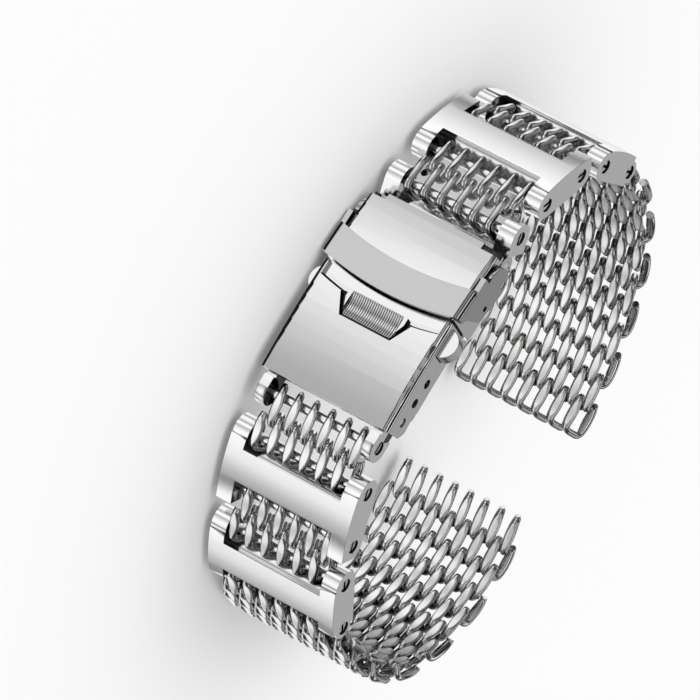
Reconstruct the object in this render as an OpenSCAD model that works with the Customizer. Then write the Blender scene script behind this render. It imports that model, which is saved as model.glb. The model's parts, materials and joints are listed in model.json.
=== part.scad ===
// Spiral mesh watch bracelet lying on its side, closed round an empty wrist.
// X runs along the clasp, Y from the clasp towards the wrist, Z across the strap.
// Two mesh sides hang on a fold-over clasp through H-shaped links.

/* [Wire mesh] */
// Diameter of the round wire
wire_d = 1.1; // [1:0.05:1.15]
// Spacing of two loops of one coil, across the strap
coil_pitch = 2.787; // [2.75:0.001:2.85]
// Loops in a full-width row
loops_per_row = 8; // [7:1:9]
// Centre-line length of a loop, along the strap
loop_len = 5.3; // [5.2:0.05:5.5]
// Half the wire spacing across a leaning end turn
turn_r = 1.6; // [1.55:0.01:1.65]
// Bend radius of the wire's centre line at a loop's corners
bend_r = 0.9; // [0.85:0.01:0.95]
// Depth ground off each face of the mesh
ground = 0.1; // [0.05:0.01:0.15]
// Play between two interlinked loops
loop_play = 0.2; // [0.15:0.01:0.25]
// Angle of the curled free wire ends
curl_angle = 55; // [40:1:60]
// Full-width rows on the side with the folded blades
upper_rows = 12; // [10:1:12]
// Full-width rows on the side with the adjusting holes
lower_rows = 14; // [12:1:14]

/* [H-links] */
// Distance between the two rods of a link
link_hole = 8.4; // [8.2:0.1:9]
// Thickness of a link at its rods
link_t = 4.4; // [4.2:0.1:4.6]
// Rise of the polished outer surface over the middle of a link
link_crown = 0.5; // [0.2:0.05:0.6]
// Radius of the polished outer surface
link_crown_r = 30; // [26:1:40]
// Width of a link's side cheeks
cheek_t = 2.6; // [2.3:0.05:2.65]
// Width of the crossbar along the strap
bar_w = 5; // [4.4:0.1:5.4]
// Radius of a cheek's end that faces the mesh
mesh_end_r = 1.7; // [1.4:0.05:1.75]
// Distance from the strap pin to the rod of a half link
half_len = 4.75; // [4.7:0.05:5]
// Diameter of a link's rod
rod_d = 1.4; // [1.3:0.05:1.4]
// Play between a rod and the loops round it
rod_play = 0.1; // [0.08:0.01:0.15]
// Diameter of a rod's slotted head
head_d = 2; // [1.8:0.05:2.2]
// Length of a rod's head
head_h = 0.6; // [0.5:0.05:0.8]
// Depth of the heads and rod ends below the cheek's face
head_recess = 0.2; // [0.15:0.01:0.3]

/* [Clasp] */
// Length of the clasp's outer curve along its chord
clasp_len = 30; // [29:0.5:31]
// Outer radius of the clasp's curve
clasp_r = 110; // [100:1:125]
// Thickness of the cover's sheet
cover_t = 0.8; // [0.6:0.05:0.85]
// Width of the cover's side walls across the sheet
wall_t = 0.9; // [0.8:0.05:1]
// Depth of the cover's side walls
cover_depth = 5.4; // [5.3:0.1:5.6]
// Spacing of the adjusting holes
adjust_step = 3.2; // [3:0.1:3.3]
// Radius of the strap pins
pin_r = 0.7; // [0.6:0.05:0.75]
// Radius of the fold pins
fold_pin_r = 0.5; // [0.4:0.05:0.55]
// Thickness of the folding blades
blade_t = 0.8; // [0.7:0.05:0.85]
// How far the safety flap stands out beyond each side of the cover
flap_out = 0.85; // [0.8:0.05:0.95]
// Thickness of the safety flap's sheet
flap_t = 0.75; // [0.6:0.05:0.75]
// Number of ribs on the thumb tab
tab_ribs = 24; // [18:1:26]
// How far a push button stands out
button_out = 2; // [1.6:0.1:2.2]
// Travel of a push button
button_travel = 0.8; // [0.6:0.05:0.85]

/* [Hidden] */

// Overlap that lets a cut pass right through a face
cut = 0.5;
// Radial gap of a pin in its bore
pin_gap = 0.03;
// Gap between parts that slide or swing past each other
run_gap = 0.1;
band_w = (loops_per_row - 0.5) * coil_pitch + wire_d;
legs = 2 * loops_per_row;
// A short coil leaves out two legs at each side of the strap
skip_legs = 2;
short_legs = legs - 2 * skip_legs;
half_h = sqrt(turn_r * turn_r - coil_pitch * coil_pitch / 16);
lean = atan2(coil_pitch / 4, half_h);
leg_len = loop_len - 2 * bend_r;
mesh_t = 2 * half_h + wire_d - 2 * ground;
// A corner is this much thinner than the wire, and laps into the straight lengths
corner_step = 0.02;
corner_lap = 0.05;
row_pitch = loop_len - wire_d - loop_play;
rod_reach = (loop_len - wire_d - rod_d) / 2 - rod_play;
// Sweep of a loop round its rod, with room to swing
pocket_r = norm([bend_r + 0.1 + rod_play, turn_r]) + wire_d;

// Rest shape, as headings in degrees along the strap, away from the clasp
clasp_tilt = -12;
clasp_origin = [-1.16, 2.27];
// Middle of the ring, which stands over the part's origin
ring_mid = [20.13, 29.12];
lower_heads = [-10, 8, 19, 27, 32, 37, 47, 62];
upper_heads = [203, 160, 148, 135, 120, 110, 97, 82];
lower_first = 74;
lower_bend_1 = 5;
lower_bend_2 = 10.5;
lower_split = 5;
upper_first = 76;
upper_bend_1 = 8;
upper_bend_2 = 6.5;
upper_split = 6;

// Slots in the rods' heads
slot_w = 0.4;
slot_depth = 0.3;
// Half links: a knuckle round the strap pin, then cheeks from cheek_start on
knuckle_r = 1.6;
blade_w = band_w - 2 * wall_t;
ear_t = 0.9;
lower_half_w = band_w - 2 * wall_t - 2 * run_gap;
lower_cheek_start = 3.1;
upper_knuckle_w = blade_w - 2 * ear_t - 2 * run_gap;
upper_cheek_start = 2.1;

// Places on the clasp, in its own frame: x from the hood's end, y towards the wrist
apex = [clasp_len / 2, 0.35];
adjust_y = 4.3;
adjust_x = 27.3;
strap_pin = [adjust_x, adjust_y];
blade_strap_pin = [0.33, 7.45];
cover_hinge = [15.4, 4.85];
blade_hinge = [25.2, 7.6];
flap_hinge = [3.16, 6.12];
mid_z = band_w / 2;

// Cover: its front edge, with the notch for the thumb tab, and its button windows
cover_start = 12.4;
cover_corner_r = 3;
parting_x = 14.5;
parting_sag = 1.5;
notch_top = 12;
notch_bottom = 8.7;
notch_end = 18.7;
notch_play = 0.35;
window_y = [1.95, 4.15];
button_x = 15.1;
button_r = 2.25;
flange_t = 0.5;
flange_out = 0.35;
// Thumb plate under the cover, and its ribbed tab
plate_start = 13.35;
plate_end = 21;
plate_t = 0.7;
tab_start = 14.7;
tab_end = 18.35;
tab_half = 5;
tab_rise = 0.75;
scoop_r = 4.2;
rib_depth = 0.14;
// The bracelet lies on its far button, which its weight presses in
stand = button_out - button_travel;
// Leaf spring between the buttons
spring_t = 0.25;
spring_w = 1;
spring_bow = 1.6;
spring_mid = 15.2;
// Blades
knuckle_gap = 0.1;
hinge_r = 1.05;
blade_1_w = 16;
blade_2_r = 102.9;
blade_2_start = 2.3;
ear_r = 1.6;
// Hood and safety flap
hood_end = 11.9;
hood_t = 0.7;
hood_lip = 2.2;
hood_play = 0.05;
hood_corner = [1, 2.8];
flap_front = 11.6;
flap_rear = 6.8;
flap_gap = 0.1;
flap_shoulder = 1;
flap_wall = 2.9;
// Side plates of the flap: a round end at its pivot, a round front foot and a straight top
arm_end = [4, 4.65];
arm_end_r = 2.7;
arm_foot = [8.3, 4.8];
arm_foot_r = 1.6;
arm_top = 1.9;
arm_top_end = 10.8;
dimple = [7.5, 5.3];
dimple_r = 0.45;
// Small stop beside the hood, behind the flap's edge
stop_rear = 4.7;
stop_top = 0.5;

function heading(a) = [cos(a), sin(a)];
function turned(p, a) = [p.x * cos(a) - p.y * sin(a), p.x * sin(a) + p.y * cos(a)];
function clasp_point(p) = clasp_origin + turned(p, clasp_tilt);

// Rest places of one side, from the strap pin on: each entry is a point
function lower_first_head(i) = lower_first + lower_bend_1 * min(i - 1, lower_split - 1)
    + lower_bend_2 * max(i - lower_split, 0);
function upper_first_head(i) = upper_first - upper_bend_1 * min(i - 1, upper_split - 1)
    - upper_bend_2 * max(i - upper_split, 0);
function rod_0(start, h) = start + half_len * heading(h[0]);
function coil_a(rod, h) = rod + rod_reach * heading(h);
function coil_b(rod, ha, hb) = coil_a(rod, ha) + row_pitch / 2 * (heading(ha) + heading(hb));
function next_rod(rod, ha, hb) = coil_b(rod, ha, hb) + rod_reach * heading(hb);
function far_rod(rod, h) = rod + link_hole * heading(h);
function side_rods(start, h) = let (r0 = rod_0(start, h), r1 = next_rod(r0, h[1], h[2]),
    r2 = far_rod(r1, h[3]), r3 = next_rod(r2, h[4], h[5]), r4 = far_rod(r3, h[6]))
    [r0, r1, r2, r3, r4];
lower_rods = side_rods(clasp_point(strap_pin), lower_heads);
upper_rods = side_rods(clasp_point(blade_strap_pin), upper_heads);
function lower_row_at(i) = i == 0 ? coil_a(lower_rods[4], lower_heads[7])
    : lower_row_at(i - 1) + row_pitch / 2
        * (heading(i == 1 ? lower_heads[7] : lower_first_head(i - 1)) + heading(lower_first_head(i)));
function upper_row_at(i) = i == 0 ? coil_a(upper_rods[4], upper_heads[7])
    : upper_row_at(i - 1) + row_pitch / 2
        * (heading(i == 1 ? upper_heads[7] : upper_first_head(i - 1)) + heading(upper_first_head(i)));

// Drawing frames
module at(p, a) {
    translate([p.x - ring_mid.x, p.y - ring_mid.y, stand]) rotate([0, 0, a]) children();
}
module on_clasp() {
    at(clasp_origin, clasp_tilt) children();
}
module both_sides() {
    children();
    translate([0, 0, band_w]) mirror([0, 0, 1]) children();
}

// One bend of the wire: a quarter ring that laps into its neighbours
module corner(angle = 90) {
    lap_angle = corner_lap / bend_r * 180 / PI;
    rotate([90, 0, 0])
        rotate_extrude(start = 90 - angle - lap_angle, angle = angle + 2 * lap_angle, $fn = 96)
            translate([bend_r, 0]) circle(d = wire_d - corner_step, $fn = 24);
}
// The leaning turn that joins a leg on one face to the next leg on the other
module end_turn() {
    rotate([lean, 0, 0]) {
        translate([bend_r, 0, bend_r - turn_r])
            cylinder(d = wire_d, h = 2 * (turn_r - bend_r), $fn = 24);
        translate([0, 0, turn_r - bend_r]) corner();
        mirror([0, 0, 1]) translate([0, 0, turn_r - bend_r]) corner();
    }
}
// A flattened spiral of n legs: x along the strap, y across it, z through it
module spiral(n) {
    for (j = [0 : n - 1]) {
        side = j % 2 == 0 ? 1 : -1;
        translate([-leg_len / 2, j * coil_pitch / 2, side * half_h]) rotate([0, 90, 0])
            cylinder(d = wire_d, h = leg_len, $fn = 24);
        if (j < n - 1) {
            translate([0, j * coil_pitch / 2, 0]) rotate([0, side > 0 ? 0 : 180, 0])
                translate([leg_len / 2, coil_pitch / 4, 0]) end_turn();
        }
    }
    translate([-leg_len / 2, 0, half_h - bend_r]) mirror([1, 0, 0]) free_curl();
    translate([-leg_len / 2, (n - 1) * coil_pitch / 2, bend_r - half_h]) mirror([0, 0, 1])
        mirror([1, 0, 0]) free_curl();
}
module free_curl() {
    corner(curl_angle);
}
// The spiral with both faces of the mesh ground flat
module ground_spiral(n) {
    intersection() {
        spiral(n);
        translate([-loop_len, -wire_d, -mesh_t / 2])
            cube([2 * loop_len, n * coil_pitch / 2 + 2 * wire_d, mesh_t]);
    }
}
// A coil stood up in the strap: leg 0 at the near edge, kind 1 turned round its cross axis
module strap_coil(kind, first_leg, n) {
    color("silver")
        translate([0, 0, band_w - wire_d / 2 - first_leg * coil_pitch / 2])
            rotate([0, 0, kind == 0 ? 0 : 180])
                rotate([-90, 0, 0]) ground_spiral(n);
}
module full_row(kind) {
    strap_coil(kind, 0, legs);
}
module short_coil(kind) {
    strap_coil(kind, skip_legs, short_legs);
}
module lower_row(i) {
    at(lower_row_at(i), lower_first_head(i)) full_row((lower_rows - i) % 2);
}
module upper_row(i) {
    at(upper_row_at(i), upper_first_head(i) + 180) full_row((upper_rows - i + 1) % 2);
}
module lower_coil(i) {
    h = lower_heads[i == 5 ? 7 : i <= 2 ? i : i + 1];
    rod = lower_rods[i <= 2 ? 0 : i <= 4 ? 2 : 4];
    p = i == 2 || i == 4 ? coil_b(rod, lower_heads[i == 2 ? 1 : 4], h) : coil_a(rod, h);
    at(p, h) short_coil((lower_rows + (i == 5 ? 0 : i)) % 2);
}
module upper_coil(i) {
    h = upper_heads[i == 5 ? 7 : i <= 2 ? i : i + 1];
    rod = upper_rods[i <= 2 ? 0 : i <= 4 ? 2 : 4];
    p = i == 2 || i == 4 ? coil_b(rod, upper_heads[i == 2 ? 1 : 4], h) : coil_a(rod, h);
    at(p, h + 180) short_coil((upper_rows + 1 + (i == 5 ? 0 : i)) % 2);
}

// H-link along x with its rods at 0 and link_hole, polished face towards -y
module upright(r, h, p) {
    translate([p.x, p.y, 0]) cylinder(r = r, h = h, $fn = 64);
}
module link_block(z, h, r_a, r_b) {
    translate([0, 0, z]) {
        upright(r_a, h, [0, 0]);
        upright(r_b, h, [link_hole, 0]);
        translate([0, -link_t / 2 - link_crown, 0])
            cube([link_hole, link_t + link_crown, h]);
        if (r_b > mesh_end_r) {
            translate([link_hole - 1, -link_t / 2 - link_crown, 0])
                cube([1 + r_b, link_t / 2 + link_crown, h]);
        }
    }
}
module crown_cut() {
    translate([link_hole / 2, link_crown_r - link_t / 2 - link_crown, -cut])
        cylinder(r = link_crown_r, h = band_w + 2 * cut, $fn = 256);
}
// Bores for a rod: plain through both cheeks, wider at the near face for the head
module rod_bore(p) {
    translate([p.x, p.y, -cut]) cylinder(r = rod_d / 2 + pin_gap, h = band_w + 2 * cut, $fn = 48);
    translate([p.x, p.y, band_w - head_recess - head_h])
        cylinder(r = head_d / 2 + pin_gap, h = head_h + head_recess + cut, $fn = 48);
}
module rod(p) {
    difference() {
        union() {
            translate([p.x, p.y, head_recess])
                cylinder(d = rod_d, h = band_w - 2 * head_recess - head_h / 2, $fn = 48);
            translate([p.x, p.y, band_w - head_recess - head_h])
                cylinder(d = head_d, h = head_h, $fn = 48);
        }
        translate([p.x - head_d, p.y - slot_w / 2, band_w - head_recess - slot_depth])
            cube([2 * head_d, slot_w, slot_depth + cut]);
    }
}
module h_link(r_a, r_b) {
    color("lightgray") difference() {
        intersection() {
            union() {
                both_sides() link_block(0, cheek_t, r_a, r_b);
                translate([(link_hole - bar_w) / 2, -link_t / 2 - link_crown, cheek_t - cut])
                    cube([bar_w, link_t + link_crown, band_w - 2 * cheek_t + 2 * cut]);
            }
            crown_cut();
        }
        for (x = [0, link_hole]) {
            rod_bore([x, 0]);
            translate([x, 0, cheek_t]) cylinder(r = pocket_r, h = band_w - 2 * cheek_t, $fn = 96);
        }
    }
}
module link_rods() {
    color("gainsboro") {
        rod([0, 0]);
        rod([link_hole, 0]);
    }
}
// Half link: strap pin at 0, rod at half_len, knuckle of the given width round the pin
module half_link(knuckle_w, side_w, cheek_start) {
    inner_z = cheek_t;
    color("lightgray") difference() {
        union() {
            translate([0, 0, (band_w - knuckle_w) / 2])
                cylinder(r = knuckle_r, h = knuckle_w, $fn = 64);
            translate([0, -knuckle_r, (band_w - knuckle_w) / 2])
                cube([cheek_start + cut, 2 * knuckle_r, knuckle_w]);
            both_sides() {
                z0 = (band_w - side_w) / 2;
                translate([cheek_start, -link_t / 2, z0])
                    cube([half_len - cheek_start, link_t, inner_z - z0]);
                translate([half_len, 0, z0]) cylinder(r = link_t / 2, h = inner_z - z0, $fn = 64);
            }
        }
        translate([0, 0, -cut]) cylinder(r = pin_r + pin_gap, h = band_w + 2 * cut, $fn = 48);
        translate([half_len, 0, -cut])
            cylinder(r = rod_d / 2 + pin_gap, h = band_w + 2 * cut, $fn = 48);
        translate([half_len, 0, (band_w + side_w) / 2 - head_recess - head_h])
            cylinder(r = head_d / 2 + pin_gap, h = head_h + head_recess + cut, $fn = 48);
        translate([half_len, 0, inner_z])
            cylinder(r = pocket_r, h = band_w - 2 * inner_z, $fn = 96);
    }
}
module half_rods(side_w, pin_len) {
    z_top = (band_w + side_w) / 2 - head_recess;
    z_low = (band_w - side_w) / 2 + head_recess;
    color("gainsboro") {
        translate([0, 0, (band_w - pin_len) / 2]) cylinder(r = pin_r, h = pin_len, $fn = 48);
        difference() {
            union() {
                translate([half_len, 0, z_low])
                    cylinder(d = rod_d, h = z_top - z_low - head_h / 2, $fn = 48);
                translate([half_len, 0, z_top - head_h]) cylinder(d = head_d, h = head_h, $fn = 48);
            }
            translate([half_len - head_d, -slot_w / 2, z_top - slot_depth])
                cube([2 * head_d, slot_w, slot_depth + cut]);
        }
    }
}
module at_lower_half() {
    at(clasp_point(strap_pin), lower_heads[0]) children();
}
module at_upper_half() {
    at(clasp_point(blade_strap_pin), upper_heads[0]) mirror([0, 1, 0]) children();
}
module at_lower_link(i) {
    at(lower_rods[2 * i - 1], lower_heads[i == 1 ? 3 : 6]) children();
}
module at_upper_link(i) {
    at(upper_rods[2 * i - 1], upper_heads[i == 1 ? 3 : 6]) mirror([0, 1, 0]) children();
}

// Clasp shells: sheets bent round one centre, as sectors of a turned section
function arc_y(x, r) = apex.y + clasp_r - sqrt(r * r - (x - apex.x) * (x - apex.x));
function sector_angle(x) = asin((x - apex.x) / clasp_r);
// Section of revolution swept between two places along the clasp
module clasp_sector(x0, x1) {
    translate([apex.x, apex.y + clasp_r, 0])
        rotate_extrude(start = sector_angle(x0) - 90, angle = sector_angle(x1) - sector_angle(x0), $fn = 360)
            children();
}
// U section: open towards the centre, with rounded shoulders
module channel_section(r_out, w, depth, sheet, wall, shoulder) {
    difference() {
        rounded_strip(r_out - depth, r_out, w, shoulder);
        rounded_strip(r_out - depth - cut, r_out - sheet, w - 2 * wall, max(shoulder - wall, 0.2));
    }
}
module rounded_strip(r_in, r_out, w, shoulder) {
    translate([r_in, mid_z - w / 2]) square([r_out - r_in - shoulder, w]);
    translate([r_in, mid_z - w / 2 + shoulder]) square([r_out - r_in, w - 2 * shoulder]);
    for (s = [-1, 1])
        translate([r_out - shoulder, mid_z + s * (w / 2 - shoulder)]) circle(r = shoulder, $fn = 32);
}
// Arc across the strap that bulges by sag towards +x, as a solid that keeps its hollow side
module bulge(x_side, half_w, sag) {
    r = (half_w * half_w + sag * sag) / (2 * sag);
    translate([x_side + sag - r, -10, mid_z]) rotate([-90, 0, 0])
        cylinder(r = r, h = 30, $fn = 360);
}
module notch_prism(y0, y1, grow) {
    translate([0, y1, mid_z]) rotate([90, 0, 0]) linear_extrude(height = y1 - y0)
        polygon([[parting_x - 2, -notch_top / 2 - grow], [parting_x + 1.2, -notch_top / 2 - grow],
            [notch_end + grow, -notch_bottom / 2 - grow / 2],
            [notch_end + grow, notch_bottom / 2 + grow / 2],
            [parting_x + 1.2, notch_top / 2 + grow], [parting_x - 2, notch_top / 2 + grow]]);
}
module cover() {
    color("silver") on_clasp() difference() {
        clasp_sector(cover_start, clasp_len)
            channel_section(clasp_r, band_w, cover_depth, cover_t, wall_t, 0.9);
        intersection() {
            bulge(parting_x, band_w / 2, parting_sag);
            translate([cover_start - 2, -3, wall_t])
                cube([8, 3 + arc_y(parting_x, clasp_r) + cover_t + cut, band_w - 2 * wall_t]);
        }
        notch_prism(-3, arc_y(notch_end, clasp_r) + cover_t + cut, 0);
        for (k = [0 : 2])
            translate([adjust_x - k * adjust_step, adjust_y, -cut])
                cylinder(r = pin_r + pin_gap, h = band_w + 2 * cut, $fn = 48);
        translate([cover_hinge.x, cover_hinge.y, -cut])
            cylinder(r = fold_pin_r + pin_gap, h = band_w + 2 * cut, $fn = 48);
        translate([button_x - button_r - run_gap, window_y[0] - run_gap, -cut])
            cube([2 * (button_r + run_gap), window_y[1] - window_y[0] + 2 * run_gap, band_w + 2 * cut]);
        translate([clasp_len - cover_corner_r, arc_y(clasp_len, clasp_r) + cover_depth - cover_corner_r, -cut])
            difference() {
                cube([cover_corner_r + 2, cover_corner_r + 2, band_w + 2 * cut]);
                cylinder(r = cover_corner_r, h = band_w + 2 * cut, $fn = 96);
            }
    }
}
// Strip seated under the cover, with the ribbed thumb tab standing in the notch
module tab_block() {
    translate([0, arc_y(tab_start, clasp_r - cover_t) + 0.1, mid_z]) rotate([90, 0, 0])
        linear_extrude(height = tab_rise + 0.1)
            polygon([[tab_start, -tab_half], [parting_x + 1.4, -tab_half],
                [tab_end, -notch_bottom / 2 + notch_play], [tab_end, notch_bottom / 2 - notch_play],
                [parting_x + 1.4, tab_half], [tab_start, tab_half]]);
}
module thumb_plate() {
    top = clasp_r - cover_t;
    top_y = arc_y(tab_start, top) - tab_rise;
    scoop = [tab_start + 2.2, top_y - scoop_r + 0.5];
    rib_step = 2 * (tab_half - 0.6) / tab_ribs;
    color("silver") on_clasp() difference() {
        union() {
            difference() {
                clasp_sector(plate_start - parting_sag, plate_end) translate([top - plate_t, wall_t])
                    square([plate_t, band_w - 2 * wall_t]);
                bulge(plate_start - parting_sag, band_w / 2, parting_sag);
            }
            tab_block();
            translate([spring_mid, arc_y(spring_mid, top - plate_t) - 0.1, mid_z]) rotate([-90, 0, 0])
                cylinder(r = 0.8, h = window_y[1] - 0.6 - arc_y(spring_mid, top - plate_t), $fn = 48);
        }
        translate([scoop.x, scoop.y, mid_z - tab_half + 0.6])
            cylinder(r = scoop_r, h = 2 * tab_half - 1.2, $fn = 180);
        for (k = [0 : tab_ribs - 1])
            translate([scoop.x, scoop.y, mid_z - tab_half + 0.6 + (k + 0.3) * rib_step])
                cylinder(r = scoop_r + rib_depth, h = 0.4 * rib_step, $fn = 180);
    }
}
// Push buttons: a half-round cap through the wall, kept in by an inner flange
module button() {
    h = window_y[1] - window_y[0];
    color("silver") translate([button_x, window_y[0], 0]) {
        intersection() {
            translate([0, 0, button_r - button_out]) rotate([-90, 0, 0])
                cylinder(r = button_r, h = h, $fn = 96);
            translate([-button_r, 0, -button_out]) cube([2 * button_r, h, button_out + wall_t + run_gap]);
        }
        translate([-button_r, 0, button_r - button_out])
            cube([2 * button_r, h, wall_t + run_gap + flange_t - button_r + button_out]);
        translate([-button_r - flange_out, 0, wall_t + run_gap])
            cube([2 * (button_r + flange_out), h, flange_t]);
    }
}
// Leaf spring between the buttons, drawn as it lies when both are pressed
module button_spring() {
    half = mid_z - wall_t - run_gap - flange_t - button_travel - run_gap;
    r = (half * half + spring_bow * spring_bow) / (2 * spring_bow);
    a = asin(half / r);
    color("gainsboro") on_clasp()
        translate([spring_mid + 0.8 + 0.02 - r, window_y[0] + 0.35, mid_z]) rotate([-90, 0, 0])
            rotate_extrude(start = -a, angle = 2 * a, $fn = 180)
                translate([r, 0]) square([spring_t, spring_w]);
}
// Fold pins and the blades
module cross_pin(p, r, z0, z1) {
    translate([p.x, p.y, z0]) cylinder(r = r, h = z1 - z0, $fn = 48);
}
module cover_pin() {
    color("gainsboro") on_clasp() cross_pin(cover_hinge, fold_pin_r, 0.05, band_w - 0.05);
}
module blade_pin() {
    color("gainsboro") on_clasp()
        cross_pin(blade_hinge, fold_pin_r, (band_w - blade_w) / 2, (band_w + blade_w) / 2);
}
module middle_blade() {
    z0 = mid_z - blade_1_w / 2;
    drop = hinge_r - blade_t;
    a = [cover_hinge.x, cover_hinge.y + drop];
    b = [blade_hinge.x, blade_hinge.y - hinge_r];
    color("silver") on_clasp() difference() {
        union() {
            cross_pin(cover_hinge, hinge_r, z0, z0 + blade_1_w);
            cross_pin(blade_hinge, hinge_r, mid_z - blade_1_w / 4, mid_z + blade_1_w / 4);
            translate([0, 0, z0]) linear_extrude(height = blade_1_w)
                polygon([a, b - [2.1, 0], b - [2.1, -blade_t], a + [0, blade_t]]);
            translate([0, 0, mid_z - blade_1_w / 4]) linear_extrude(height = blade_1_w / 2)
                polygon([b - [2.2, 0], b, b + [0, blade_t], b - [2.2, -blade_t]]);
        }
        cross_pin(cover_hinge, fold_pin_r + pin_gap, -cut, band_w + cut);
        cross_pin(blade_hinge, fold_pin_r + pin_gap, -cut, band_w + cut);
    }
}
module inner_blade() {
    z0 = (band_w - blade_w) / 2;
    color("silver") on_clasp() difference() {
        union() {
            difference() {
                clasp_sector(blade_2_start, blade_hinge.x) translate([blade_2_r - blade_t, z0])
                    square([blade_t, blade_w]);
                translate([blade_hinge.x - 2, blade_hinge.y - 2, mid_z - blade_1_w / 4 - knuckle_gap])
                    cube([3, 4, blade_1_w / 2 + 2 * knuckle_gap]);
            }
            both_sides() {
                cross_pin(blade_hinge, hinge_r, z0, mid_z - blade_1_w / 4 - knuckle_gap);
                cross_pin(blade_strap_pin, ear_r, z0, z0 + ear_t);
                translate([blade_strap_pin.x, blade_strap_pin.y, z0])
                    cube([3, arc_y(3, blade_2_r - blade_t) - blade_strap_pin.y, ear_t]);
            }
        }
        cross_pin(blade_hinge, fold_pin_r + pin_gap, -cut, band_w + cut);
        cross_pin(blade_strap_pin, pin_r + pin_gap, -cut, band_w + cut);
    }
}
// Hood over the strap end, with side walls down to the inner blade
module end_hood() {
    hood_w = band_w - 2 * hood_play;
    hood_wall = (hood_w - blade_w) / 2;
    color("silver") on_clasp() difference() {
        clasp_sector(0, hood_end)
            channel_section(clasp_r, hood_w, clasp_r - blade_2_r + blade_t, hood_t, hood_wall, 0.7);
        translate([-1, arc_y(0, clasp_r) + hood_lip, -cut]) cube([3, 12, band_w + 2 * cut]);
        cross_pin(flap_hinge, fold_pin_r + pin_gap, -cut, band_w + cut);
        both_sides() translate([-cut, -3, -cut])
            cube([hood_corner.x + cut, 6, hood_corner.y + cut]);
    }
}
// Safety flap: arc-edged band with side plates that reach down to its pivot
module flap_arm() {
    translate([0, 0, -flap_out]) linear_extrude(height = flap_out - run_gap) {
        hull() {
            translate(arm_end) circle(r = arm_end_r, $fn = 96);
            translate(arm_foot) circle(r = arm_foot_r, $fn = 64);
            translate([flap_rear, arm_top]) square([arm_top_end - flap_rear, 0.3]);
        }
        translate([stop_rear, stop_top]) square([flap_rear + cut - stop_rear, arm_top + cut - stop_top]);
    }
}
// Clears the push button in front of a side plate
module button_relief() {
    translate([0, 0, -2]) linear_extrude(height = band_w + 4)
        polygon([[12.7, 1.1], [arm_top_end, arm_top], [arm_top_end - 0.4, 4], [15, 4], [15, 1.1]]);
}
module safety_flap() {
    r_out = clasp_r + flap_gap + flap_t;
    w = band_w + 2 * flap_out;
    color("silver") on_clasp() difference() {
        union() {
            difference() {
                intersection() {
                    clasp_sector(flap_rear, flap_front + parting_sag + cut)
                        channel_section(r_out, w, flap_wall, flap_t, flap_out - run_gap, flap_shoulder);
                    bulge(flap_front, w / 2, parting_sag);
                }
                bulge(flap_rear, w / 2, parting_sag);
                button_relief();
            }
            both_sides() flap_arm();
        }
        both_sides() {
            cross_pin(flap_hinge, fold_pin_r + pin_gap, -2, 0.5);
            cross_pin(dimple, dimple_r, -2, -flap_out + 0.4);
        }
    }
}
module flap_pins() {
    color("gainsboro") on_clasp() both_sides() cross_pin(flap_hinge, fold_pin_r, -flap_out + 0.05, wall_t + 0.3);
}

cover();
thumb_plate();
middle_blade();
inner_blade();
end_hood();
safety_flap();
on_clasp() translate([0, 0, button_travel]) button();  // button_far
on_clasp() translate([0, 0, band_w]) mirror([0, 0, 1]) button();  // button_near
cover_pin();
blade_pin();
flap_pins();
button_spring();
at_upper_half() half_link(upper_knuckle_w, band_w, upper_cheek_start);  // upper_half_link
at_upper_half() half_rods(band_w, blade_w);  // upper_half_rods
at_lower_half() half_link(lower_half_w, lower_half_w, lower_cheek_start);  // lower_half_link
at_lower_half() half_rods(lower_half_w, band_w - 0.4);  // lower_half_rods
at_upper_link(1) h_link(link_t / 2, link_t / 2);  // upper_link_1
at_upper_link(2) h_link(link_t / 2, mesh_end_r);  // upper_link_2
at_lower_link(1) h_link(link_t / 2, link_t / 2);  // lower_link_1
at_lower_link(2) h_link(link_t / 2, mesh_end_r);  // lower_link_2
at_upper_link(1) link_rods();  // upper_rods_1
at_upper_link(2) link_rods();  // upper_rods_2
at_lower_link(1) link_rods();  // lower_rods_1
at_lower_link(2) link_rods();  // lower_rods_2
for (i = [1 : 5]) {
    upper_coil(i);
    lower_coil(i);
}
for (i = [1 : 12]) {
    upper_row(i);
}
for (i = [1 : 14]) {
    lower_row(i);
}
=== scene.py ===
import json
import math

import bmesh
import bpy
from bpy.props import FloatProperty, FloatVectorProperty, IntProperty, PointerProperty
from mathutils import Matrix, Vector
from mathutils.bvhtree import BVHTree


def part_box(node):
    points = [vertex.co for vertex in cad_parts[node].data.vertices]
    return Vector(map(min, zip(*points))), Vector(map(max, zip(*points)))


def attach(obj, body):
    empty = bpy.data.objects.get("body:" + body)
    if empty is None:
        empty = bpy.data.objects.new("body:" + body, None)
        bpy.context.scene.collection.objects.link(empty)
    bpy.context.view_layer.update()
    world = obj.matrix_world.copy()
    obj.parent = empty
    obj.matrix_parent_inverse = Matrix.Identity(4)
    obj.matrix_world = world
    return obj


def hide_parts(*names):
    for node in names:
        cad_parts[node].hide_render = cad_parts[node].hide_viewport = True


bl_info = {
    "name": "Spiral Mesh Bracelet",
    "version": (1, 0, 0),
    "blender": (4, 5, 0),
    "location": "View3D > Sidebar > Bracelet",
    "description": "Dresses a spiral mesh watch bracelet with H-links and a fold-over clasp",
    "category": "Add Mesh",
}

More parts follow.
